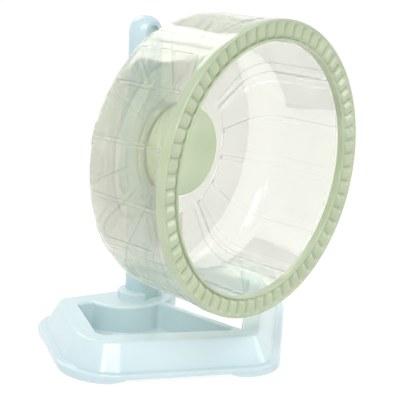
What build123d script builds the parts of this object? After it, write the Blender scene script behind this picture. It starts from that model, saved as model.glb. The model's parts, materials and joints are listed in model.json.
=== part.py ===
# Rodent exercise wheel: a clear drum that turns on a height-adjustable carrier over a two-piece tray base.
# Millimetres, +Z up. The origin is on the floor, under the middle of the column.
# The drum opens towards -Y and its axle runs along Y. The column stands behind it.
import os
from math import cos, radians, sin

from build123d import *

os.makedirs("parts", exist_ok=True)

# Driving dimensions of the wheel. A depth is measured back from the front of the rim.
rim_front = -118.0
axle_height = 147.0
rim_radius = 105.0
rim_opening = 89.7
rim_depth = 6.6
tooth_count = 60
drum_radius = 103.9
drum_depth = 86.0
drum_taper = 2.1
drum_wall = 2.4
drum_corner = 24.4
rung_count = 16
rung_start_angle = 6.0
rung_width = 3.6
rung_rise = 1.6
rung_reach = 50.0
rung_front = 10.8
panel_count = 8
panel_angle = 35.0
panel_recess = 0.8
hub_radius = 32.8
hub_front_depth = 74.0
hub_rear_depth = 100.0
hub_screw_circle = 22.0

# Driving dimensions of the column and the carrier
column_radius = 12.2
column_flat = 8.7
column_top = 240.4
slide_gap = 0.3
carrier_bottom = 107.0
carrier_top = 180.0
carrier_radius = 17.3
carrier_front = 16.5
button_height = 120.0
button_travel = 2.5

# Driving dimensions of the base
base_top = 25.1
lip_top = 6.9
lip_bottom = 3.3
wall_spread = 10.5
lip_spread = 16.0
wall = 2.2
bowl_floor = 5.6
seam_gap = 0.1
right_wing = [(108.7, -35.3), (59.5, 43.5)]
left_wing = [(-52.0, 38.3), (-100.7, -41.3)]
tray_corners = [(0, -116.5)] + right_wing + [(0, 15.5)] + left_wing
tray_radii = [12.0, 30.0, 10.0, 34.0, 10.0, 30.0]
frame_corners = [(-5.0, -103.5), (91.4, -32.2), (55.7, 25.0), (-5.0, -3.5)]
bowl_corners = [(-2.3, -97.9), (-80.5, -35.0), (-47.5, 20.5), (-2.3, 1.2)]
post_block = (48.0, 33.0, 14.0)
collar_plan = (36.0, 26.0, 12.4)
collar_seat = 1.2
collar_height = 5.0
flange_radius = 14.2
plate_screw_x = 17.5
link_screw_x = 7.0
link_y = -104.0
screw_radius = 1.3
screw_head_radius = 2.6


def at_depth(depth):
    # Plane across the axle, at a depth behind the front of the rim, with its normal towards +Y.
    return Plane(origin=(0, rim_front + depth, axle_height), x_dir=(-1, 0, 0), z_dir=(0, 1, 0))


# Plane through the axle for turned outlines: x is the radius and y is the depth behind the rim.
turning = Plane(origin=(0, rim_front, axle_height), x_dir=(1, 0, 0), z_dir=(0, 0, 1))
axle_line = Axis((0, rim_front, axle_height), (0, 1, 0))


def turned_ring(inner, outer, front, back):
    # Plain washer round the axle line.
    with BuildPart() as washer:
        with BuildSketch(at_depth(front)):
            Circle(outer)
            Circle(inner, mode=Mode.SUBTRACT)
        extrude(amount=back - front)
    return washer


def outline_face(points, rounds):
    # Face of a closed outline, with the corners nearest to the given places rounded.
    with BuildSketch() as face:
        with BuildLine():
            Polyline(*points, close=True)
        make_face()
        for place, radius in rounds:
            fillet(face.vertices().sort_by_distance(place)[0], radius)
    return face.sketch


def around_axle(piece, count, start_angle):
    # Copies of a piece round the axle. Angles run from +X towards +Z.
    return [piece.rotate(axle_line, -(start_angle + 360*n/count)) for n in range(count)]


# Drum shell, turned from its wall outline. The side wall narrows slightly towards the back.
back_radius = drum_radius - drum_taper
inner_back = drum_depth - drum_wall
inner_radius = drum_radius - drum_wall
inner_back_radius = back_radius - drum_wall
drum_outline = [
    (drum_radius, 3.8), (back_radius, drum_depth), (15.0, drum_depth),
    (15.0, inner_back), (inner_back_radius, inner_back), (inner_radius, 3.8),
]
drum_rounds = [(drum_outline[1], drum_corner), (drum_outline[4], drum_corner - drum_wall)]

# Rung on the inside of the drum: it runs back along the side, round the corner and in towards the hub
rung_root = 1.4
rung_outline = [
    (inner_radius + rung_root, rung_front), (inner_back_radius + rung_root, inner_back + rung_root),
    (rung_reach, inner_back + rung_root), (rung_reach, inner_back - rung_rise),
    (inner_back_radius - rung_rise, inner_back - rung_rise), (inner_radius - rung_rise, rung_front),
]
rung_rounds = [
    (rung_outline[1], drum_corner - drum_wall + rung_root),
    (rung_outline[4], drum_corner - drum_wall - rung_rise),
    (rung_outline[3], 1.5), (rung_outline[5], 1.5),
]
with BuildPart() as rung:
    with BuildSketch(turning):
        add(outline_face(rung_outline, rung_rounds))
    extrude(amount=rung_width/2, both=True)
    fillet(rung.edges().filter_by(Axis.Z, reverse=True), 1.3)

# Shallow panel pressed into the outside of the drum between two gaps, open towards the outside
panel_outline = [
    (drum_radius + 4, 17.0), (back_radius + 4, drum_depth + 4),
    (52.0, drum_depth + 4), (52.0, drum_depth - panel_recess),
    (back_radius - panel_recess, drum_depth - panel_recess), (drum_radius - panel_recess - 0.4, 17.0),
]
panel_rounds = [(panel_outline[1], drum_corner + 4), (panel_outline[4], drum_corner - panel_recess)]
with BuildPart() as panel:
    with BuildSketch(turning):
        add(outline_face(panel_outline, panel_rounds))
    revolve(axis=axle_line, revolution_arc=panel_angle)
    ends = [edge for edge in panel.edges().filter_by(GeomType.LINE) if 4 < edge.length < 6]
    fillet(ends, 4.0)
panel_cut = panel.part.rotate(axle_line, -panel_angle/2)

with BuildPart() as drum:
    with BuildSketch(turning):
        add(outline_face(drum_outline, drum_rounds))
    revolve(axis=axle_line)
    add(around_axle(rung.part, rung_count, rung_start_angle))
    add(around_axle(panel_cut, panel_count, rung_start_angle), mode=Mode.SUBTRACT)
    with BuildSketch(at_depth(drum_depth - 0.5)):
        Circle(40.0)
        Circle(36.0, mode=Mode.SUBTRACT)
    extrude(amount=2.4)
    with Locations(at_depth(drum_depth)):
        with PolarLocations(hub_screw_circle, 3, start_angle=90):
            Hole(1.7)
drum.part.label = "drum"
export_step(drum.part, "parts/drum.step")


# Rim: a grooved ring on the drum's front edge, with a row of scooped teeth round its face
rim_outline = [
    (rim_opening, 0.4), (92.2, 0.4), (92.6, 0.9), (100.6, 0.9), (101.2, 0.0), (rim_radius, 0.0),
    (rim_radius, rim_depth), (drum_radius + 0.1, rim_depth), (drum_radius + 0.1, 3.7),
    (inner_radius - 0.3, 3.7), (inner_radius - 0.3, rim_depth), (rim_opening, rim_depth),
]
rim_rounds = [(rim_outline[5], 2.2), (rim_outline[4], 0.5), (rim_outline[0], 0.9), (rim_outline[1], 0.25)]


def scoop_section(radius, half_width, depth):
    # Cross-section of one scoop, open to the front of the rim.
    with BuildSketch(Plane.YZ.offset(radius)) as section:
        with BuildLine():
            Polyline(
                (-1.5, -half_width), (0.9, -half_width), (0.9 + depth, -half_width/2),
                (0.9 + depth, half_width/2), (0.9, half_width), (-1.5, half_width), close=True,
            )
        make_face()
    return section.sketch


with BuildPart() as scoop:
    add(scoop_section(92.7, 0.5, 0.2))
    add(scoop_section(100.5, 3.8, 2.2))
    loft(ruled=True)
scoop_cut = scoop.part.translate((0, rim_front, axle_height))

with BuildPart() as ring:
    with BuildSketch(turning):
        add(outline_face(rim_outline, rim_rounds))
    revolve(axis=axle_line)
    add(around_axle(scoop_cut, tooth_count, 0.0), mode=Mode.SUBTRACT)
ring.part.label = "ring"
export_step(ring.part, "parts/ring.step")


# Hub: a disc in front of the drum's back wall and a drafted cup behind it, with three screws through both
bearing_radius = 7.5
bearing_length = 5.0
front_bearing = inner_back - bearing_length
rear_bearing = 93.0
with BuildPart() as hub_front:
    with BuildSketch(at_depth(hub_front_depth)):
        Circle(hub_radius)
    extrude(amount=inner_back - 0.05 - hub_front_depth)
    fillet(hub_front.edges().group_by(Axis.Y)[0], 1.8)
    with Locations(at_depth(inner_back - 0.05)):
        Hole(bearing_radius + 0.02, depth=bearing_length - 0.05)
        Hole(5.6, depth=7.4)
        with PolarLocations(hub_screw_circle, 3, start_angle=90):
            Hole(1.3, depth=5.6)
hub_front.part.label = "hub_front"
export_step(hub_front.part, "parts/hub_front.step")

with BuildPart() as hub_rear:
    with BuildSketch(at_depth(drum_depth + 0.05)):
        Circle(34.0)
    with BuildSketch(at_depth(hub_rear_depth)):
        Circle(31.0)
    loft()
    fillet(hub_rear.edges().group_by(Axis.Y)[-1], 2.0)
    with BuildSketch(at_depth(inner_back + 0.05)):
        Circle(14.9)
    extrude(amount=3.0)
    with Locations(at_depth(hub_rear_depth)):
        Hole(bearing_radius + 0.02, depth=hub_rear_depth - rear_bearing)
        Hole(5.6)
        with PolarLocations(hub_screw_circle, 3, start_angle=90):
            CounterBoreHole(1.7, 3.0, 9.0)
hub_rear.part.label = "hub_rear"
export_step(hub_rear.part, "parts/hub_rear.step")

with BuildPart() as hub_screws:
    with Locations(at_depth(hub_rear_depth - 9.0)):
        with PolarLocations(hub_screw_circle, 3, start_angle=90):
            Cylinder(2.7, 1.8, align=(Align.CENTER, Align.CENTER, Align.MIN))
            Cylinder(1.25, 12.0, align=(Align.CENTER, Align.CENTER, Align.MAX))
    fillet(hub_screws.edges().group_by(Axis.Y)[-1], 0.7)
hub_screws.part.label = "hub_screws"
export_step(hub_screws.part, "parts/hub_screws.step")


def bearing(name, front):
    # Sealed bearing in two races. The outer race carries thin shields that clear the inner one.
    back = front + bearing_length
    with BuildPart() as outer:
        add(turned_ring(6.2, bearing_radius, front, back).part)
        add(turned_ring(4.7, 6.3, front + 0.3, front + 0.6).part)
        add(turned_ring(4.7, 6.3, back - 0.6, back - 0.3).part)
    outer.part.label = name + "_outer"
    export_step(outer.part, "parts/" + name + "_outer.step")
    inner = turned_ring(3.02, 4.3, front, back)
    inner.part.label = name + "_inner"
    export_step(inner.part, "parts/" + name + "_inner.step")
    return outer, inner


bearing_front_outer, bearing_front_inner = bearing("bearing_front", front_bearing)
bearing_rear_outer, bearing_rear_inner = bearing("bearing_rear", rear_bearing)

bearing_spacer = turned_ring(3.05, 4.2, inner_back, rear_bearing)
bearing_spacer.part.label = "bearing_spacer"
export_step(bearing_spacer.part, "parts/bearing_spacer.step")

carrier_depth = -carrier_front - rim_front
thrust_washer = turned_ring(3.05, 5.4, rear_bearing + bearing_length, carrier_depth)
thrust_washer.part.label = "thrust_washer"
export_step(thrust_washer.part, "parts/thrust_washer.step")

# Axle, pressed into the carrier at the back, with a groove for the clip in front of the bearings
axle_radius = 3.0
clip_depth = front_bearing - 0.7
axle_end = -(column_flat + slide_gap + 0.4) - rim_front
with BuildPart() as axle:
    with BuildSketch(at_depth(76.8)):
        Circle(axle_radius)
    extrude(amount=axle_end - 76.8)
    chamfer(axle.edges().group_by(Axis.Y)[0], 0.4)
    add(turned_ring(2.3, 3.5, clip_depth - 0.05, clip_depth + 0.65).part, mode=Mode.SUBTRACT)
axle.part.label = "axle"
export_step(axle.part, "parts/axle.step")

with BuildPart() as axle_clip:
    add(turned_ring(2.35, 4.7, clip_depth, clip_depth + 0.6).part)
    with Locations(at_depth(clip_depth)):
        with Locations((0, -4.0)):
            Box(3.4, 8.0, 4.0, mode=Mode.SUBTRACT)
axle_clip.part.label = "axle_clip"
export_step(axle_clip.part, "parts/axle_clip.step")


# Column: round with a flat front, a domed top, a long recess in the flat and a flange caught in the base
def column_outline(grow):
    with BuildSketch() as outline:
        Circle(column_radius + grow)
        with Locations((0, -column_flat - grow)):
            Rectangle(60, 30, align=(Align.CENTER, Align.MAX), mode=Mode.SUBTRACT)
    return outline.sketch


post_bottom = 8.0
with BuildPart() as post:
    with BuildSketch(Plane.XY.offset(post_bottom)):
        add(column_outline(0))
    extrude(amount=column_top - post_bottom)
    with BuildSketch(Plane.XZ):
        with BuildLine():
            Polyline((0, 0), (column_radius + 5, 0), (column_radius + 5, 226), (column_radius, 226))
            Spline((column_radius, 226), (9.6, 236), (0, column_top), tangents=((0, 1), (-1, 0)))
            Line((0, column_top), (0, 0))
        make_face()
    revolve(axis=Axis.Z, mode=Mode.INTERSECT)
    with BuildSketch(Plane.XZ.offset(column_flat)):
        with Locations((0, 213.5)):
            SlotOverall(41, 11, rotation=90)
    extrude(amount=-2.2, mode=Mode.SUBTRACT)
    with BuildSketch(Plane.XY.offset(post_bottom + 3)):
        Circle(flange_radius)
    extrude(amount=3.5)
post.part.label = "post"
export_step(post.part, "parts/post.step")

# Collar round the foot of the column, open at the front
collar_bottom = base_top - collar_seat
with BuildPart() as foot_collar:
    with BuildSketch(Plane.XY.offset(collar_bottom)):
        RectangleRounded(*collar_plan)
    extrude(amount=collar_seat + collar_height)
    fillet(foot_collar.edges().group_by(Axis.Z)[-1], 1.2)
    with BuildSketch(Plane.XY.offset(collar_bottom)):
        Circle(column_radius + 0.05)
        with Locations((0, -15)):
            Rectangle(17.0, 16.0)
    extrude(amount=10, mode=Mode.SUBTRACT)
foot_collar.part.label = "foot_collar"
export_step(foot_collar.part, "parts/foot_collar.step")


# Carrier: a sleeve that slides on the column, with a rounded front wall that holds the axle
carrier_height = carrier_top - carrier_bottom
sleeve_outline = [
    (0, carrier_bottom), (carrier_radius, carrier_bottom), (carrier_radius, carrier_top - 11),
    (13.6, carrier_top), (0, carrier_top),
]
sleeve_rounds = [(sleeve_outline[1], 4.0), (sleeve_outline[2], 5.0)]
front_half = carrier_radius - 2.3
front_top = carrier_top - 7
with BuildPart() as front_wall:
    with BuildSketch(Plane.XZ.offset(2.0)):
        with BuildLine():
            Polyline(
                (-front_half, carrier_bottom + front_half), (-front_half, front_top),
                (front_half, front_top), (front_half, carrier_bottom + front_half),
            )
            ThreePointArc(
                (front_half, carrier_bottom + front_half), (0, carrier_bottom + 0.5),
                (-front_half, carrier_bottom + front_half),
            )
        make_face()
    extrude(amount=carrier_front - 2.0)
    fillet(front_wall.faces().sort_by(Axis.Y)[0].edges(), 2.0)

with BuildPart() as button_housing:
    with BuildSketch(Plane.XZ.offset(-8.0)):
        with Locations((0, button_height)):
            RectangleRounded(17.0, 25.0, 4.0)
    extrude(amount=-10.5)
    fillet(button_housing.faces().sort_by(Axis.Y)[-1].edges(), 1.0)

with BuildPart() as carrier:
    with BuildSketch(Plane.XZ):
        add(outline_face(sleeve_outline, sleeve_rounds))
    revolve(axis=Axis.Z)
    with Locations((0, -13.5, carrier_bottom - 1)):
        Box(60, 20, 90, align=(Align.CENTER, Align.MAX, Align.MIN), mode=Mode.SUBTRACT)
    add(front_wall.part)
    add(button_housing.part)
    with BuildSketch(Plane.XZ.offset(-18.5)):
        with Locations((0, button_height)):
            RectangleRounded(11.6, 18.6, 2.6)
    extrude(amount=5.1, mode=Mode.SUBTRACT)
    with BuildSketch(Plane.XY.offset(carrier_bottom - 1)):
        add(column_outline(slide_gap))
    extrude(amount=carrier_height + 2, mode=Mode.SUBTRACT)
    with BuildSketch(at_depth(carrier_depth)):
        Circle(axle_radius)
    extrude(amount=8.0, mode=Mode.SUBTRACT)
carrier.part.label = "carrier"
export_step(carrier.part, "parts/carrier.step")

with BuildPart() as release_button:
    with BuildSketch(Plane.XZ.offset(-16.3)):
        with Locations((0, button_height)):
            RectangleRounded(11.0, 18.0, 2.3)
    extrude(amount=-5.3)
    fillet(release_button.faces().sort_by(Axis.Y)[-1].edges(), 1.2)
    with BuildSketch(Plane.XZ.offset(-21.6)):
        with GridLocations(0, 3.2, 1, 4):
            with Locations((0, button_height)):
                Rectangle(7.0, 1.0)
    extrude(amount=0.5, mode=Mode.SUBTRACT)
release_button.part.label = "release_button"
export_step(release_button.part, "parts/release_button.step")


# Base: two drafted tray halves that meet on the middle line
def tray_outline(grow):
    with BuildSketch() as outline:
        add(outline_face(tray_corners, list(zip(tray_corners, tray_radii))))
        if grow:
            offset(amount=grow)
    return outline.sketch


def opening_outline(corners, radii, grow):
    # Inside edge of the bowl or of the open frame, which bends round the column's block.
    with BuildSketch() as outline:
        add(outline_face(corners, list(zip(corners, radii))))
        RectangleRounded(*post_block, mode=Mode.SUBTRACT)
        if grow:
            offset(amount=grow)
    return outline.sketch


plate_places = [(x, y) for x in (-plate_screw_x, plate_screw_x) for y in (-9.0, 9.0)]
link_places = [(-link_screw_x, link_y), (link_screw_x, link_y)]
screw_places = plate_places + link_places


def tray_half(side, corners, radii, closed_floor):
    # side is 1 for the right half and -1 for the left one.
    opening = opening_outline(corners, radii, 0)
    opening_wall = opening_outline(corners, radii, wall)
    with BuildPart() as hollow:
        with BuildSketch(Plane.XY.offset(0)):
            add(tray_outline(wall_spread - 2.5))
        extrude(amount=lip_top)
        with BuildSketch(Plane.XY.offset(lip_top)):
            add(tray_outline(wall_spread - 2.5))
        with BuildSketch(Plane.XY.offset(base_top - wall)):
            add(tray_outline(-1.3))
        loft()
        with BuildSketch(Plane.XY.offset(lip_bottom)):
            add(opening_wall)
            RectangleRounded(*post_block)
            Rectangle(2*wall, 400)
            with Locations(link_places):
                Circle(4.0)
        extrude(amount=base_top, mode=Mode.SUBTRACT)
    with BuildPart() as half:
        with BuildSketch(Plane.XY.offset(lip_top)):
            add(tray_outline(wall_spread))
        with BuildSketch(Plane.XY.offset(base_top)):
            add(tray_outline(0))
        loft()
        fillet(half.faces().sort_by(Axis.Z)[-1].edges(), 2.6)
        with BuildSketch(Plane.XY.offset(lip_bottom)):
            add(tray_outline(lip_spread))
        lip = extrude(amount=lip_top - lip_bottom)
        fillet(lip.faces().sort_by(Axis.Z)[-1].outer_wire().edges(), 1.5)
        with BuildSketch():
            with Locations([(100, -38), (-93, -42), (0, -124), (60, 46), (-54, 42)]):
                Circle(17.0)
            add(tray_outline(lip_spread - 1.2), mode=Mode.INTERSECT)
        extrude(amount=lip_bottom + 0.5)
        add(hollow.part, mode=Mode.SUBTRACT)
        with BuildSketch(Plane.XY.offset(bowl_floor if closed_floor else 0)):
            add(opening)
        extrude(amount=base_top, mode=Mode.SUBTRACT)
        fillet(half.faces().sort_by(Axis.Z)[-1].inner_wires()[0].edges(), 1.3)
        if closed_floor:
            fillet(half.edges().filter_by_position(Axis.Z, bowl_floor - 0.01, bowl_floor + 0.01), 2.4)
        with BuildSketch(Plane.XY.offset(base_top - collar_seat)):
            RectangleRounded(collar_plan[0] + 0.6, collar_plan[1] + 0.6, collar_plan[2] + 0.3)
        extrude(amount=5, mode=Mode.SUBTRACT)
        with BuildSketch(Plane.XY.offset(post_bottom)):
            add(column_outline(0.08))
        extrude(amount=base_top, mode=Mode.SUBTRACT)
        with BuildSketch(Plane.XY.offset(post_bottom + 2.95)):
            Circle(flange_radius + 0.08)
        extrude(amount=3.6, mode=Mode.SUBTRACT)
        with Locations([(x, y, lip_bottom) for x, y in screw_places]):
            Cylinder(screw_radius, 14.0, align=(Align.CENTER, Align.CENTER, Align.MIN), mode=Mode.SUBTRACT)
        with Locations((side*(200 + seam_gap/2), 0, 0)):
            Box(400, 400, 100, mode=Mode.INTERSECT)
    return half


base_left = tray_half(-1, bowl_corners, [1.0, 9.0, 6.0, 1.0], True)
base_left.part.label = "base_left"
export_step(base_left.part, "parts/base_left.step")

base_right = tray_half(1, frame_corners, [1.0, 9.0, 7.0, 1.0], False)
base_right.part.label = "base_right"
export_step(base_right.part, "parts/base_right.step")


# Plates under the middle line that join the halves, and their screws
def joining_plate(name, length, width, corner, top, places, middle_y):
    with BuildPart() as plate:
        with BuildSketch(Plane.XY.offset(top - plate_thickness)):
            with Locations((0, middle_y)):
                RectangleRounded(length, width, corner)
        extrude(amount=plate_thickness)
        chamfer(plate.edges().group_by(Axis.Z)[0], 0.4)
        with Locations([(x, y, top - plate_thickness) for x, y in places]):
            Cylinder(screw_head_radius + 0.2, 1.7, align=(Align.CENTER, Align.CENTER, Align.MIN), mode=Mode.SUBTRACT)
            Cylinder(screw_radius + 0.2, 4.0, align=(Align.CENTER, Align.CENTER, Align.MIN), mode=Mode.SUBTRACT)
    plate.part.label = name
    export_step(plate.part, "parts/" + name + ".step")
    return plate


plate_thickness = 3.25
plate_top = lip_bottom - 0.05
anchor_plate = joining_plate("anchor_plate", 46.0, 29.0, 8.0, plate_top, plate_places, 0.0)
front_plate = joining_plate("front_plate", 26.0, 8.0, 3.9, plate_top, link_places, link_y)

with BuildPart() as base_screws:
    with Locations([(x, y, 0.3) for x, y in screw_places]):
        Cylinder(screw_head_radius, 1.4, align=(Align.CENTER, Align.CENTER, Align.MIN))
        Cylinder(screw_radius - 0.05, 12.0, align=(Align.CENTER, Align.CENTER, Align.MIN))
base_screws.part.label = "base_screws"
export_step(base_screws.part, "parts/base_screws.step")
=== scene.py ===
import json
import math

import bmesh
import bpy
from mathutils import Matrix, Vector


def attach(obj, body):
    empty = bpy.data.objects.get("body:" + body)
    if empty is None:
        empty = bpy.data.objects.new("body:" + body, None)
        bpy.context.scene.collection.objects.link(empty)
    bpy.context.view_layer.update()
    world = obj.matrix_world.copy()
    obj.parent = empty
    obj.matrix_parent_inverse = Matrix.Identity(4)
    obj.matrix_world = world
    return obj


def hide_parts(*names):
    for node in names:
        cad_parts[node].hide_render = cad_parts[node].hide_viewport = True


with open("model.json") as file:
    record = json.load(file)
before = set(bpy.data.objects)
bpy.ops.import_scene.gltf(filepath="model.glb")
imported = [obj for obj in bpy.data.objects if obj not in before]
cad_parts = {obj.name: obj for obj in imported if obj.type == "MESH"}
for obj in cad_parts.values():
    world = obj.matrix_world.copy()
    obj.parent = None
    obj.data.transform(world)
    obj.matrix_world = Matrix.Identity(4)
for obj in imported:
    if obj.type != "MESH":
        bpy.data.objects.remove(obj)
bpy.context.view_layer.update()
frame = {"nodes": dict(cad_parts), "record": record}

bodyOf = {}
for bodyName, members in frame["record"]["behaviour"]["bodies"].items():
    for member in members:
        bodyOf[member] = bodyName

# the wheel as a whole: metres, and depths are measured back from the rim's front
wheel = {"rimFront": -0.118, "axleHeight": 0.147}


def linear(red, green, blue):
    def one(value):
        value = value/255
        return value/12.92 if value <= 0.04045 else ((value + 0.055)/1.055)**2.4
    return (one(red), one(green), one(blue), 1.0)


# shader and geometry node wiring
class Wire:
    # one socket of a node tree, so that maths reads as an expression
    def __init__(self, tree, socket):
        self.tree = tree
        self.socket = socket

    def math(self, operation, first, second=None):
        node = self.tree.nodes.new("ShaderNodeMath")
        node.operation = operation
        feed(self.tree, node.inputs[0], first)
        if second is not None:
            feed(self.tree, node.inputs[1], second)
        return Wire(self.tree, node.outputs[0])

    def __add__(self, other):
        return self.math("ADD", self, other)

    def __radd__(self, other):
        return self.math("ADD", other, self)

    def __sub__(self, other):
        return self.math("SUBTRACT", self, other)

    def __rsub__(self, other):
        return self.math("SUBTRACT", other, self)

    def __mul__(self, other):
        return self.math("MULTIPLY", self, other)

    def __rmul__(self, other):
        return self.math("MULTIPLY", other, self)

    def __pow__(self, other):
        return self.math("POWER", self, other)


def feed(tree, socket, item):
    # links a wire to a socket, or sets the socket's value
    if isinstance(item, Wire):
        tree.links.new(item.socket, socket)
    else:
        socket.default_value = item


class Board:
    # a node tree that is being wired
    def __init__(self, tree):
        self.tree = tree

    def add(self, kind, settings=None, inputs=None, output=0):
        node = self.tree.nodes.new(kind)
        for key, value in (settings or {}).items():
            if key == "stops":
                ramp = node.color_ramp
                while len(ramp.elements) < len(value):
                    ramp.elements.new(1.0)
                for element, (place, colour) in zip(ramp.elements, value):
                    element.position = place
                    element.color = colour
            else:
                setattr(node, key, value)
        for key, item in (inputs or {}).items():
            feed(self.tree, node.inputs[key], item)
        return Wire(self.tree, node.outputs[output]) if node.outputs else None


def newMaterial(name):
    material = bpy.data.materials.new(name)
    material.use_nodes = True
    material.node_tree.nodes.clear()
    return material, Board(material.node_tree)


def objectPoint(board, scale=(1, 1, 1), location=(0, 0, 0)):
    place = board.add("ShaderNodeTexCoord", output="Object")
    return board.add("ShaderNodeMapping", inputs={"Vector": place, "Scale": scale, "Location": location})


def blendColours(board, factor, first, second):
    # factor runs from the first colour to the second
    return board.add(
        "ShaderNodeMix", {"data_type": "RGBA"}, {"Factor": factor, 6: first, 7: second}, output=2
    )


def finishWith(board, surface):
    board.add("ShaderNodeOutputMaterial", inputs={"Surface": surface})


plasticLooks = {
    "bluePlastic": {"colour": linear(203, 221, 225), "deep": linear(195, 214, 219), "gloss": 0.2, "coat": 0.35},
    "postPlastic": {"colour": linear(192, 214, 220), "deep": linear(183, 206, 214), "gloss": 0.22, "coat": 0.3},
    "dullBluePlastic": {"colour": linear(203, 222, 225), "deep": linear(192, 212, 216), "gloss": 0.42, "coat": 0.0},
    "greenPlastic": {"colour": linear(176, 187, 156), "deep": linear(167, 179, 146), "gloss": 0.13, "coat": 0.7},
    "hubPlastic": {"colour": linear(196, 208, 180), "deep": linear(187, 200, 170), "gloss": 0.24, "coat": 0.25},
    "whiteNylon": {"colour": linear(232, 231, 224), "deep": linear(220, 219, 210), "gloss": 0.45, "coat": 0.0},
}


def mouldedPlastic(name, look):
    # glossy injection moulding: cloudy tint, orange-peel skin, faint flow lines and handling scuffs
    material, board = newMaterial(name)
    point = objectPoint(board)
    cloud = board.add("ShaderNodeTexNoise", inputs={"Vector": point, "Scale": 14.0, "Detail": 4.0})
    flow = board.add(
        "ShaderNodeTexWave", {"wave_type": "BANDS", "bands_direction": "Z"},
        {"Vector": point, "Scale": 9.0, "Distortion": 5.0, "Detail": 2.0}, output=1,
    )
    shade = cloud*0.75 + flow*0.25
    tint = board.add(
        "ShaderNodeValToRGB", {"stops": [(0.25, look["deep"]), (0.65, look["colour"])]}, {"Fac": shade}
    )
    scuff = board.add(
        "ShaderNodeTexNoise", inputs={"Vector": objectPoint(board, (1, 1, 7)), "Scale": 160.0, "Detail": 6.0}
    )
    roughness = look["gloss"] + cloud*0.05 + scuff*0.06 - 0.05
    peel = board.add("ShaderNodeTexNoise", inputs={"Vector": point, "Scale": 420.0, "Detail": 2.0})
    skin = board.add("ShaderNodeBump", inputs={"Strength": 0.05, "Distance": 0.0004, "Height": peel + cloud*2.0})
    surface = board.add("ShaderNodeBsdfPrincipled", inputs={
        "Base Color": tint, "Roughness": roughness, "Normal": skin, "IOR": 1.5,
        "Coat Weight": look["coat"], "Coat Roughness": 0.08,
    })
    finishWith(board, surface)
    return material


clearLook = {
    "colour": (0.888, 0.892, 0.834, 1), "deep": (0.872, 0.877, 0.81, 1), "straight": (0.926, 0.929, 0.886, 1),
    "roughness": 0.015, "ior": 1.47, "thin": 0.45,
}


def clearPlastic(name, look):
    # polished clear moulding with a cream tint: part bends light as a solid and part lets it straight through
    material, board = newMaterial(name)
    point = objectPoint(board)
    cloud = board.add("ShaderNodeTexNoise", inputs={"Vector": point, "Scale": 10.0, "Detail": 3.0})
    tint = board.add(
        "ShaderNodeValToRGB", {"stops": [(0.3, look["deep"]), (0.7, look["colour"])]}, {"Fac": cloud}
    )
    scratch = board.add(
        "ShaderNodeTexNoise", inputs={"Vector": objectPoint(board, (1, 12, 1)), "Scale": 90.0, "Detail": 5.0}
    )
    wave = board.add("ShaderNodeBump", inputs={"Strength": 0.03, "Distance": 0.001, "Height": cloud + scratch*0.1})
    clear = board.add("ShaderNodeBsdfPrincipled", inputs={
        "Base Color": tint, "Roughness": look["roughness"] + scratch*0.02, "Normal": wave,
        "IOR": look["ior"], "Transmission Weight": 1.0,
    })
    straight = board.add("ShaderNodeBsdfTransparent", inputs={"Color": look["straight"]})
    shadow = board.add("ShaderNodeLightPath", output="Is Shadow Ray")
    share = shadow*(1.0 - look["thin"]) + look["thin"]
    finishWith(board, board.add("ShaderNodeMixShader", inputs={0: share, 1: clear, 2: straight}))
    return material


steelLooks = {
    "zincSteel": {"colour": linear(196, 198, 196), "deep": linear(164, 166, 165), "gloss": 0.32},
    "turnedSteel": {"colour": linear(200, 201, 203), "deep": linear(150, 151, 154), "gloss": 0.25},
    "groundSteel": {"colour": linear(208, 209, 211), "deep": linear(172, 173, 176), "gloss": 0.2},
}


def turnedSteel(name, look):
    # lathe marks run round the axle
    material, board = newMaterial(name)
    point = objectPoint(board)
    marks = board.add(
        "ShaderNodeTexNoise", inputs={"Vector": objectPoint(board, (1, 90, 1)), "Scale": 60.0, "Detail": 4.0}
    )
    stain = board.add("ShaderNodeTexNoise", inputs={"Vector": point, "Scale": 120.0, "Detail": 3.0})
    tint = board.add(
        "ShaderNodeValToRGB", {"stops": [(0.3, look["deep"]), (0.7, look["colour"])]}, {"Fac": marks*0.6 + stain*0.4}
    )
    skin = board.add("ShaderNodeBump", inputs={"Strength": 0.15, "Distance": 0.0002, "Height": marks})
    finishWith(board, board.add("ShaderNodeBsdfPrincipled", inputs={
        "Base Color": tint, "Metallic": 1.0, "Roughness": look["gloss"] + marks*0.12, "Normal": skin,
    }))
    return material


finishes = {name: mouldedPlastic(name, look) for name, look in plasticLooks.items()}
finishes.update({name: turnedSteel(name, look) for name, look in steelLooks.items()})
finishes["clearPlastic"] = clearPlastic("clearPlastic", clearLook)
print("materials made:", len(finishes))


# pieces
def pieceFromMesh(name, mesh, material, node):
    piece = bpy.data.objects.new(name, mesh)
    bpy.context.collection.objects.link(piece)
    mesh.materials.clear()
    mesh.materials.append(material)
    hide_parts(node)
    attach(piece, bodyOf[node])
    return piece


def evaluatedMesh(holder, name):
    # the result of an object's modifiers as a plain mesh
    bpy.context.view_layer.update()
    graph = bpy.context.evaluated_depsgraph_get()
    mesh = bpy.data.meshes.new_from_object(holder.evaluated_get(graph))
    mesh.name = name
    bpy.data.objects.remove(holder)
    return mesh


def cadCopy(node):
    # a merged copy of a CAD node's mesh to work on
    work = bmesh.new()
    work.from_mesh(frame["nodes"][node].data)
    bmesh.ops.remove_doubles(work, verts=work.verts, dist=2e-6)
    return work


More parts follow.
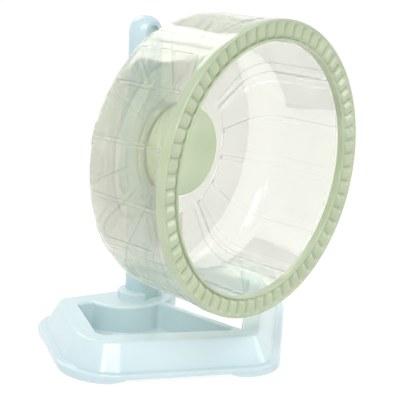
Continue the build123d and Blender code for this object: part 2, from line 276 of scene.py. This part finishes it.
def smoothSkin(name, work, material, node, sharp=32.0):
    # shades a mesh smoothly, so that gloss runs evenly over its curves
    for face in work.faces:
        face.smooth = True
    for edge in work.edges:
        edge.smooth = not (len(edge.link_faces) == 2 and edge.calc_face_angle(0) > math.radians(sharp))
    mesh = bpy.data.meshes.new(name)
    work.to_mesh(mesh)
    work.free()
    holder = bpy.data.objects.new(name + "Work", mesh)
    bpy.context.collection.objects.link(holder)
    weighted = holder.modifiers.new("weighted", "WEIGHTED_NORMAL")
    weighted.keep_sharp = True
    weighted.weight = 100
    return pieceFromMesh(name, evaluatedMesh(holder, name), material, node)


skins = {
    "drum": ("drumShell", "clearPlastic", "clear_plastic"),
    "hub_front": ("hubDisc", "hubPlastic", "green_plastic"),
    "hub_rear": ("hubCup", "hubPlastic", "green_plastic"),
    "carrier": ("carrierSleeve", "postPlastic", "blue_plastic"),
    "release_button": ("releaseButton", "postPlastic", "blue_plastic"),
    "post": ("columnSkin", "postPlastic", "blue_plastic"),
}
for node, (name, finish, slotName) in skins.items():
    smoothSkin(name, cadCopy(node), finishes[finish], node)

# collar round the column's foot, with the photograph's fuller outline
collar = {"column": 0.0126, "bottom": 0.0239, "stretch": (39/36, 27/26, 7.7/6.2)}
work = cadCopy("foot_collar")
for vertex in work.verts:
    place = vertex.co
    if math.hypot(place.x, place.y) > collar["column"]:
        place.x *= collar["stretch"][0]
        place.y *= collar["stretch"][1]
    place.z = collar["bottom"] + (place.z - collar["bottom"])*collar["stretch"][2]
smoothSkin("footCollarSkin", work, finishes["bluePlastic"], "foot_collar")
print("smooth skins made:", len(skins) + 1)


# base halves: the bowl and the open frame bend round the column's round block. Outlines are in millimetres
trays = {
    "base_left": {
        "name": "bowlTray", "side": -1, "bottom": 0.9, "floor": 2.8, "floorRound": 2.4,
        "corners": [(-2.3, -97.9), (-80.5, -35.0), (-47.5, 20.5), (-37.3, 16.2), (-37.3, -20.5), (-2.3, -20.5)],
        "radii": [3.0, 9.0, 4.5, 3.0, 33.2, 3.0],
        "filler": [(-2.3, -97.9), (-80.5, -35.0), (-47.5, 20.5), (-20.0, 9.0), (-20.0, -14.8), (-2.3, -14.8)],
    },
    "base_right": {
        "name": "frameTray", "side": 1, "bottom": 3.4, "floor": -1.0, "floorRound": 0.0,
        "corners": [(-5.0, -103.5), (91.4, -32.2), (55.7, 25.0), (37.3, 16.4), (37.3, -20.5), (-5.0, -20.5)],
        "radii": [3.0, 9.0, 5.0, 3.0, 33.2, 3.0],
        "filler": [(2.0, -98.3), (91.4, -32.2), (55.7, 25.0), (20.0, 8.2), (20.0, -14.8), (2.0, -14.8)],
    },
}
trayTop = {"height": 25.1, "rimRound": 2.2}
feet = {
    "places": [(100, -38), (-93, -42), (0, -124), (60, 46), (-54, 42)], "tip": 17.0, "root": 30.0, "height": 3.6,
    "lip": [(0, -116.5), (108.7, -35.3), (59.5, 43.5), (0, 15.5), (-52, 38.3), (-100.7, -41.3)],
    "radii": [12.0, 30.0, 10.0, 34.0, 10.0, 30.0], "spread": 15.7,
}


def roundedOutline(corners, radii, grow, steps=12):
    # rounded polygon in millimetres, moved outwards by grow. The corners run either way round
    count = len(corners)
    points = [Vector(corner) for corner in corners]
    area = sum(points[n].x*points[(n + 1) % count].y - points[(n + 1) % count].x*points[n].y for n in range(count))
    outline = []
    for n, here in enumerate(points):
        arriving = (here - points[n - 1]).normalized()
        leaving = (points[(n + 1) % count] - here).normalized()
        turn = math.atan2(arriving.x*leaving.y - arriving.y*leaving.x, arriving.dot(leaving))
        hand = 1 if area > 0 else -1
        outward = Vector((arriving.y, -arriving.x))*hand
        outwardNext = Vector((leaving.y, -leaving.x))*hand
        middle = (outward + outwardNext).normalized()
        corner = here + middle*(grow/middle.dot(outward))
        bulge = 1 if turn*hand > 0 else -1
        radius = max(radii[n] + grow*bulge, 0.05)
        centre = corner - middle*(bulge*radius/middle.dot(outward))
        first = math.atan2(outward.y*bulge, outward.x*bulge)
        for step in range(steps + 1):
            angle = first + turn*step/steps
            outline.append((centre.x + radius*math.cos(angle), centre.y + radius*math.sin(angle)))
    return outline


def layeredSolid(name, corners, radii, layers):
    # solid with one rounded outline per layer. A layer is (grow, height) in millimetres
    work = bmesh.new()
    rings = []
    for grow, height in layers:
        outline = roundedOutline(corners, radii, grow)
        rings.append([work.verts.new((x/1000, y/1000, height/1000)) for x, y in outline])
    count = len(rings[0])
    for lower, upper in zip(rings, rings[1:]):
        for n in range(count):
            after = (n + 1) % count
            work.faces.new((lower[n], lower[after], upper[after], upper[n]))
    work.faces.new(rings[0])
    work.faces.new(rings[-1])
    bmesh.ops.recalc_face_normals(work, faces=work.faces)
    mesh = bpy.data.meshes.new(name)
    work.to_mesh(mesh)
    work.free()
    solid = bpy.data.objects.new(name, mesh)
    bpy.context.collection.objects.link(solid)
    return solid


def combine(thing, operation, other):
    # adds a boolean modifier
    modifier = thing.modifiers.new(operation, "BOOLEAN")
    modifier.operation = operation
    modifier.solver = "EXACT"
    modifier.object = other


def quarter(steps=6):
    # rise and run along a quarter round
    return [(1 - math.cos(math.pi/2*n/steps), math.sin(math.pi/2*n/steps)) for n in range(steps + 1)]


for node, tray in trays.items():
    top, soft, floorSoft = trayTop["height"], trayTop["rimRound"], tray["floorRound"]
    layers = [(-floorSoft*(1 - along), tray["floor"] + floorSoft*rise) for rise, along in quarter()]
    if not floorSoft:
        layers = [(0.0, tray["floor"])]
    layers += [(soft*run, top - soft + soft*rise) for run, rise in quarter()]
    layers += [(soft, top + 2.0)]
    cutter = layeredSolid(tray["name"] + "Cutter", tray["corners"], tray["radii"], layers)
    # feet that swell smoothly out of the lip
    near = [place for place in feet["places"] if place[0]*tray["side"] >= 0]
    swells = []
    for x, y in near:
        square = [(x - 8, y - 8), (x + 8, y - 8), (x + 8, y + 8), (x - 8, y + 8)]
        levels = [0.0, 0.04, 0.16, 0.36, 0.64, 1.0]
        swell = [(feet["tip"] + (feet["root"] - feet["tip"])*n/5 - 8, feet["height"]*levels[n]) for n in range(6)]
        swells.append(layeredSolid("swell", square, [7.0]*4, swell))
    lip = layeredSolid("lip", feet["lip"], feet["radii"], [(feet["spread"], -1.0), (feet["spread"], 5.0)])
    far = -300*tray["side"]
    otherHalf = layeredSolid("otherHalf", [(0, -300), (far, -300), (far, 300), (0, 300)], [5.0]*4, [(0, -5.0), (0, 9.0)])
    filler = layeredSolid(
        tray["name"] + "Filler", tray["filler"], [1.0, 9.0, 5.0, 1.0, 1.0, 1.0], [(1.8, tray["bottom"]), (1.8, top)]
    )
    work = cadCopy(node)
    mesh = bpy.data.meshes.new(tray["name"] + "Work")
    work.to_mesh(mesh)
    work.free()
    holder = bpy.data.objects.new(tray["name"] + "Work", mesh)
    bpy.context.collection.objects.link(holder)
    for swell in swells:
        combine(swell, "INTERSECT", lip)
        combine(swell, "DIFFERENCE", otherHalf)
    for swell in swells:
        combine(holder, "UNION", swell)
    combine(holder, "UNION", filler)
    combine(holder, "DIFFERENCE", cutter)
    mesh = evaluatedMesh(holder, tray["name"])
    for solid in swells + [lip, otherHalf, filler, cutter]:
        bpy.data.objects.remove(solid)
    work = bmesh.new()
    work.from_mesh(mesh)
    bmesh.ops.remove_doubles(work, verts=work.verts, dist=4e-6)
    smoothSkin(tray["name"], work, finishes["bluePlastic"], node)
    print(tray["name"], "made, faces:", len(mesh.polygons))

plainNodes = {
    "anchor_plate": "dullBluePlastic", "front_plate": "dullBluePlastic", "thrust_washer": "whiteNylon",
    "axle": "turnedSteel", "axle_clip": "turnedSteel", "bearing_spacer": "turnedSteel",
    "bearing_front_inner": "groundSteel", "bearing_rear_inner": "groundSteel",
    "bearing_front_outer": "groundSteel", "bearing_rear_outer": "groundSteel",
    "base_screws": "zincSteel", "hub_screws": "zincSteel",
}
for node, finish in plainNodes.items():
    data = frame["nodes"][node].data
    for index in range(len(frame["nodes"][node].material_slots)):
        frame["nodes"][node].material_slots[index].material = finishes[finish]

# rim with teeth
rim = {
    "outer": 0.105, "opening": 0.0897, "channelOut": 0.1030, "channelIn": 0.0915, "channelDepth": 0.0030,
    "depth": 0.0062, "skirt": 0.0074, "edgeRound": 0.0009, "grooveOut": 0.104, "grooveIn": 0.1012, "grooveTop": 0.0037,
    "teeth": 60, "turns": 240,
}
tooth = {"inner": 0.0914, "outer": 0.1032, "top": 0.0002, "foot": 0.0024, "innerHip": 0.0030, "outerHip": 0.0022}


def arc(centre, radius, start, end, steps):
    # points on an arc, angles in degrees
    points = []
    for step in range(steps + 1):
        angle = math.radians(start + (end - start)*step/steps)
        points.append((centre[0] + radius*math.cos(angle), centre[1] + radius*math.sin(angle)))
    return points


def latheMesh(name, outline, turns):
    # closed outline of (radius, depth) turned about the axle
    work = bmesh.new()
    rings = []
    for turn in range(turns):
        angle = 2*math.pi*turn/turns
        rings.append([
            work.verts.new((
                radius*math.cos(angle), wheel["rimFront"] + depth, wheel["axleHeight"] + radius*math.sin(angle)
            )) for radius, depth in outline
        ])
    count = len(outline)
    for turn in range(turns):
        here, there = rings[turn], rings[(turn + 1) % turns]
        for index in range(count):
            after = (index + 1) % count
            work.faces.new((here[index], here[after], there[after], there[index]))
    bmesh.ops.recalc_face_normals(work, faces=work.faces)
    for face in work.faces:
        face.smooth = True
    for edge in work.edges:
        edge.smooth = edge.calc_face_angle(0) < math.radians(40)
    mesh = bpy.data.meshes.new(name)
    work.to_mesh(mesh)
    work.free()
    return mesh


outline = []
outline += arc((rim["opening"] + 0.0009, 0.0013), 0.0009, 180, 270, 5)
outline += arc((rim["channelIn"] - 0.0007, 0.0011), 0.0007, 270, 350, 4)
outline += [(rim["channelIn"] + 0.0003, rim["channelDepth"]), (rim["channelOut"] - 0.0004, rim["channelDepth"])]
outline += arc((rim["channelOut"] + 0.0008, 0.0008), 0.0008, 190, 270, 5)
outline += arc((rim["outer"] - rim["edgeRound"], rim["edgeRound"]), rim["edgeRound"], 270, 360, 8)
outline += arc((rim["outer"] - 0.0004, rim["skirt"] - 0.0004), 0.0004, 0, 90, 3)
outline += [
    (rim["grooveOut"], rim["skirt"]), (rim["grooveOut"], rim["grooveTop"]),
    (rim["grooveIn"], rim["grooveTop"]), (rim["grooveIn"], rim["depth"]),
]
outline += arc((rim["opening"] + 0.0006, rim["depth"] - 0.0006), 0.0006, 90, 180, 3)
rimBody = latheMesh("rimBody", outline, rim["turns"])


def toothMesh():
    # one fold of the rim's face: a rounded ridge with a sloping inner end, and half a valley on each side of it
    work = bmesh.new()
    along, across = 20, 16
    pitch = 2*math.pi/rim["teeth"]
    rows = []
    for i in range(along + 1):
        radius = tooth["inner"] + (tooth["outer"] - tooth["inner"])*i/along
        rise = min((radius - tooth["inner"])/tooth["innerHip"], 1.0)
        closing = max(1.0 - (tooth["outer"] - radius)/tooth["outerHip"], 0.0)
        ridge = tooth["foot"] + (tooth["top"] - tooth["foot"])*rise
        valley = tooth["foot"] + (tooth["top"] - tooth["foot"])*closing
        row = []
        for j in range(across + 1):
            angle = pitch*(j/across - 0.5)
            share = math.cos(math.pi*angle/pitch)**0.8
            depth = valley + (ridge - valley)*share
            row.append(work.verts.new((radius*math.cos(angle), depth, radius*math.sin(angle))))
        rows.append(row)
    for i in range(along):
        for j in range(across):
            work.faces.new((rows[i][j], rows[i + 1][j], rows[i + 1][j + 1], rows[i][j + 1]))
    bmesh.ops.recalc_face_normals(work, faces=work.faces)
    if sum(face.normal.y for face in work.faces) > 0:
        bmesh.ops.reverse_faces(work, faces=work.faces)
    bmesh.ops.solidify(work, geom=work.faces[:], thickness=0.0004)
    for face in work.faces:
        face.smooth = True
    for edge in work.edges:
        edge.smooth = edge.calc_face_angle(0) < math.radians(50)
    mesh = bpy.data.meshes.new("rimFold")
    work.to_mesh(mesh)
    work.free()
    return mesh


def roundRowTree(name, material):
    # stands copies of an object round the axle and joins them to the carried mesh
    tree = bpy.data.node_groups.new(name, "GeometryNodeTree")
    tree.interface.new_socket("Geometry", in_out="OUTPUT", socket_type="NodeSocketGeometry")
    tree.interface.new_socket("Geometry", in_out="INPUT", socket_type="NodeSocketGeometry")
    tree.interface.new_socket("Piece", in_out="INPUT", socket_type="NodeSocketObject")
    tree.interface.new_socket("Count", in_out="INPUT", socket_type="NodeSocketInt")
    tree.interface.new_socket("Start Angle", in_out="INPUT", socket_type="NodeSocketFloat")
    tree.interface.new_socket("Centre", in_out="INPUT", socket_type="NodeSocketVector")
    board = Board(tree)
    given = tree.nodes.new("NodeGroupInput")
    start = Wire(tree, given.outputs["Start Angle"])
    count = Wire(tree, given.outputs["Count"])
    info = board.add("GeometryNodeObjectInfo", inputs={"Object": Wire(tree, given.outputs["Piece"])}, output="Geometry")
    index = board.add("GeometryNodeInputIndex")
    step = board.add("ShaderNodeMath", {"operation": "DIVIDE"}, {0: -2*math.pi, 1: count})
    angle = index*step - start
    turn = board.add("FunctionNodeEulerToRotation", inputs={
        "Euler": board.add("ShaderNodeCombineXYZ", inputs={"Y": angle}),
    })
    points = board.add("GeometryNodePoints", inputs={"Count": count, "Position": Wire(tree, given.outputs["Centre"])})
    stood = board.add("GeometryNodeInstanceOnPoints", inputs={"Points": points, "Instance": info, "Rotation": turn})
    real = board.add("GeometryNodeRealizeInstances", inputs={"Geometry": stood})
    join = tree.nodes.new("GeometryNodeJoinGeometry")
    tree.links.new(given.outputs["Geometry"], join.inputs[0])
    tree.links.new(real.socket, join.inputs[0])
    dressed = board.add("GeometryNodeSetMaterial", inputs={"Geometry": Wire(tree, join.outputs[0]), "Material": material})
    out = tree.nodes.new("NodeGroupOutput")
    tree.links.new(dressed.socket, out.inputs[0])
    return tree


def standRound(name, carried, pieceMesh, material, count, startAngle):
    # runs the tree once and returns a plain mesh
    unit = bpy.data.objects.new(name + "Unit", pieceMesh)
    bpy.context.collection.objects.link(unit)
    holder = bpy.data.objects.new(name + "Work", carried)
    bpy.context.collection.objects.link(holder)
    tree = roundRowTree(name + "Tree", material)
    modifier = holder.modifiers.new("row", "NODES")
    modifier.node_group = tree
    values = {
        "Piece": unit, "Count": count, "Start Angle": math.radians(startAngle),
        "Centre": (0.0, wheel["rimFront"], wheel["axleHeight"]),
    }
    for socket in tree.interface.items_tree:
        if socket.in_out == "INPUT" and socket.name in values:
            modifier[socket.identifier] = values[socket.name]
    mesh = evaluatedMesh(holder, name)
    bpy.data.objects.remove(unit)
    return mesh


rimMesh = standRound("toothedRim", rimBody, toothMesh(), finishes["greenPlastic"], rim["teeth"], 0.0)
pieceFromMesh("toothedRim", rimMesh, finishes["greenPlastic"], "ring")
print("rim made, faces:", len(rimMesh.polygons))

# camera, stage and light
view = {
    "place": (-0.72461, -0.68762, 0.39540), "azimuth": -48.97, "elevation": 16.38, "roll": 1.63,
    "focal": 1382.69, "picture": 400.0,
}
cameraData = bpy.data.cameras.new("viewCamera")
cameraData.sensor_width = 36.0
cameraData.lens = view["focal"]/view["picture"]*36.0
cameraData.clip_start = 0.01
camera = bpy.data.objects.new("viewCamera", cameraData)
bpy.context.collection.objects.link(camera)
azimuth, elevation, roll = (math.radians(view[key]) for key in ("azimuth", "elevation", "roll"))
back = Vector((
    math.sin(azimuth)*math.cos(elevation), -math.cos(azimuth)*math.cos(elevation), math.sin(elevation)
))
right = Vector((math.cos(azimuth), math.sin(azimuth), 0.0))
up = back.cross(right)
turnedRight = right*math.cos(roll) + up*math.sin(roll)
turnedUp = up*math.cos(roll) - right*math.sin(roll)
facing = Matrix((turnedRight, turnedUp, back)).transposed().to_4x4()
camera.matrix_world = Matrix.Translation(view["place"]) @ facing
bpy.context.scene.camera = camera

stage = {
    "floor": 6.0, "worldLight": 0.72, "white": 1.12, "glow": 1.07, "share": 0.85,
    "studio": [(0.02, (1, 1, 1, 1)), (0.25, (0.96, 0.98, 0.99, 1)), (0.7, (0.72, 0.81, 0.87, 1)), (1.0, (0.9, 0.92, 0.93, 1))],
}
bpy.ops.mesh.primitive_plane_add(size=stage["floor"], location=(0, 0, -0.0002))
floor = bpy.context.object
floor.name = "studioFloor"
floorMaterial, board = newMaterial("studioFloor")
path = board.tree.nodes.new("ShaderNodeLightPath")
seen = Wire(board.tree, path.outputs["Is Camera Ray"]) + Wire(board.tree, path.outputs["Is Glossy Ray"])
seen = seen + Wire(board.tree, path.outputs["Is Transmission Ray"])
floorDust = board.add("ShaderNodeTexNoise", inputs={"Vector": objectPoint(board), "Scale": 3.0})
matte = board.add("ShaderNodeBsdfDiffuse", inputs={
    "Color": blendColours(board, floorDust, (0.9, 0.9, 0.9, 1), (0.92, 0.92, 0.92, 1)),
})
clipped = board.add("ShaderNodeMath", {"operation": "MINIMUM"}, {0: seen, 1: 1.0})
glow = board.add("ShaderNodeEmission", inputs={"Color": (1, 1, 1, 1), "Strength": stage["glow"]})
finishWith(board, board.add("ShaderNodeMixShader", inputs={0: clipped*stage["share"], 1: matte, 2: glow}))
floor.data.materials.append(floorMaterial)

world = bpy.data.worlds.new("studioWorld")
bpy.context.scene.world = world
world.use_nodes = True
world.node_tree.nodes.clear()
board = Board(world.node_tree)
path = board.tree.nodes.new("ShaderNodeLightPath")
towards = board.tree.nodes.new("ShaderNodeSeparateXYZ")
board.tree.links.new(board.add("ShaderNodeTexCoord", output="Generated").socket, towards.inputs[0])
# the studio is white near the floor and bluish grey overhead. The picture's own background stays white
studio = board.add(
    "ShaderNodeValToRGB", {"stops": stage["studio"]}, {"Fac": Wire(board.tree, towards.outputs["Z"])}
)
seen = Wire(board.tree, path.outputs["Is Camera Ray"])
bent = Wire(board.tree, path.outputs["Is Transmission Ray"]) + Wire(board.tree, path.outputs["Is Glossy Ray"])
bent = board.add("ShaderNodeMath", {"operation": "MINIMUM"}, {0: bent, 1: 1.0})
colour = blendColours(board, bent, (1, 1, 1, 1), studio)
either = board.add("ShaderNodeMath", {"operation": "MINIMUM"}, {0: seen + bent, 1: 1.0})
strength = either*(stage["white"] - stage["worldLight"]) + stage["worldLight"]
sky = board.add("ShaderNodeBackground", inputs={"Color": colour, "Strength": strength})
board.add("ShaderNodeOutputWorld", inputs={"Surface": sky})

lamps = {
    "keyLamp": {"place": (-0.9, -0.7, 1.3), "size": (0.7, 0.9), "power": 11.0},
    "fillLamp": {"place": (0.9, -1.3, 0.7), "size": (0.6, 1.0), "power": 4.0},
    "glintLamp": {"place": (-1.15, -0.35, 0.85), "size": (0.12, 0.2), "power": 1.6},
    "backLamp": {"place": (0.4, 1.2, 1.2), "size": (0.9, 0.7), "power": 5.0},
}
for name, lamp in lamps.items():
    data = bpy.data.lights.new(name, "AREA")
    data.shape = "RECTANGLE"
    data.size, data.size_y = lamp["size"]
    data.energy = lamp["power"]
    thing = bpy.data.objects.new(name, data)
    bpy.context.collection.objects.link(thing)
    aim = Vector((0, -0.04, 0.12)) - Vector(lamp["place"])
    thing.matrix_world = Matrix.Translation(lamp["place"]) @ aim.to_track_quat("-Z", "Y").to_matrix().to_4x4()

scene = bpy.context.scene
scene.view_settings.view_transform = "Standard"
print("stage, camera and lamps made")
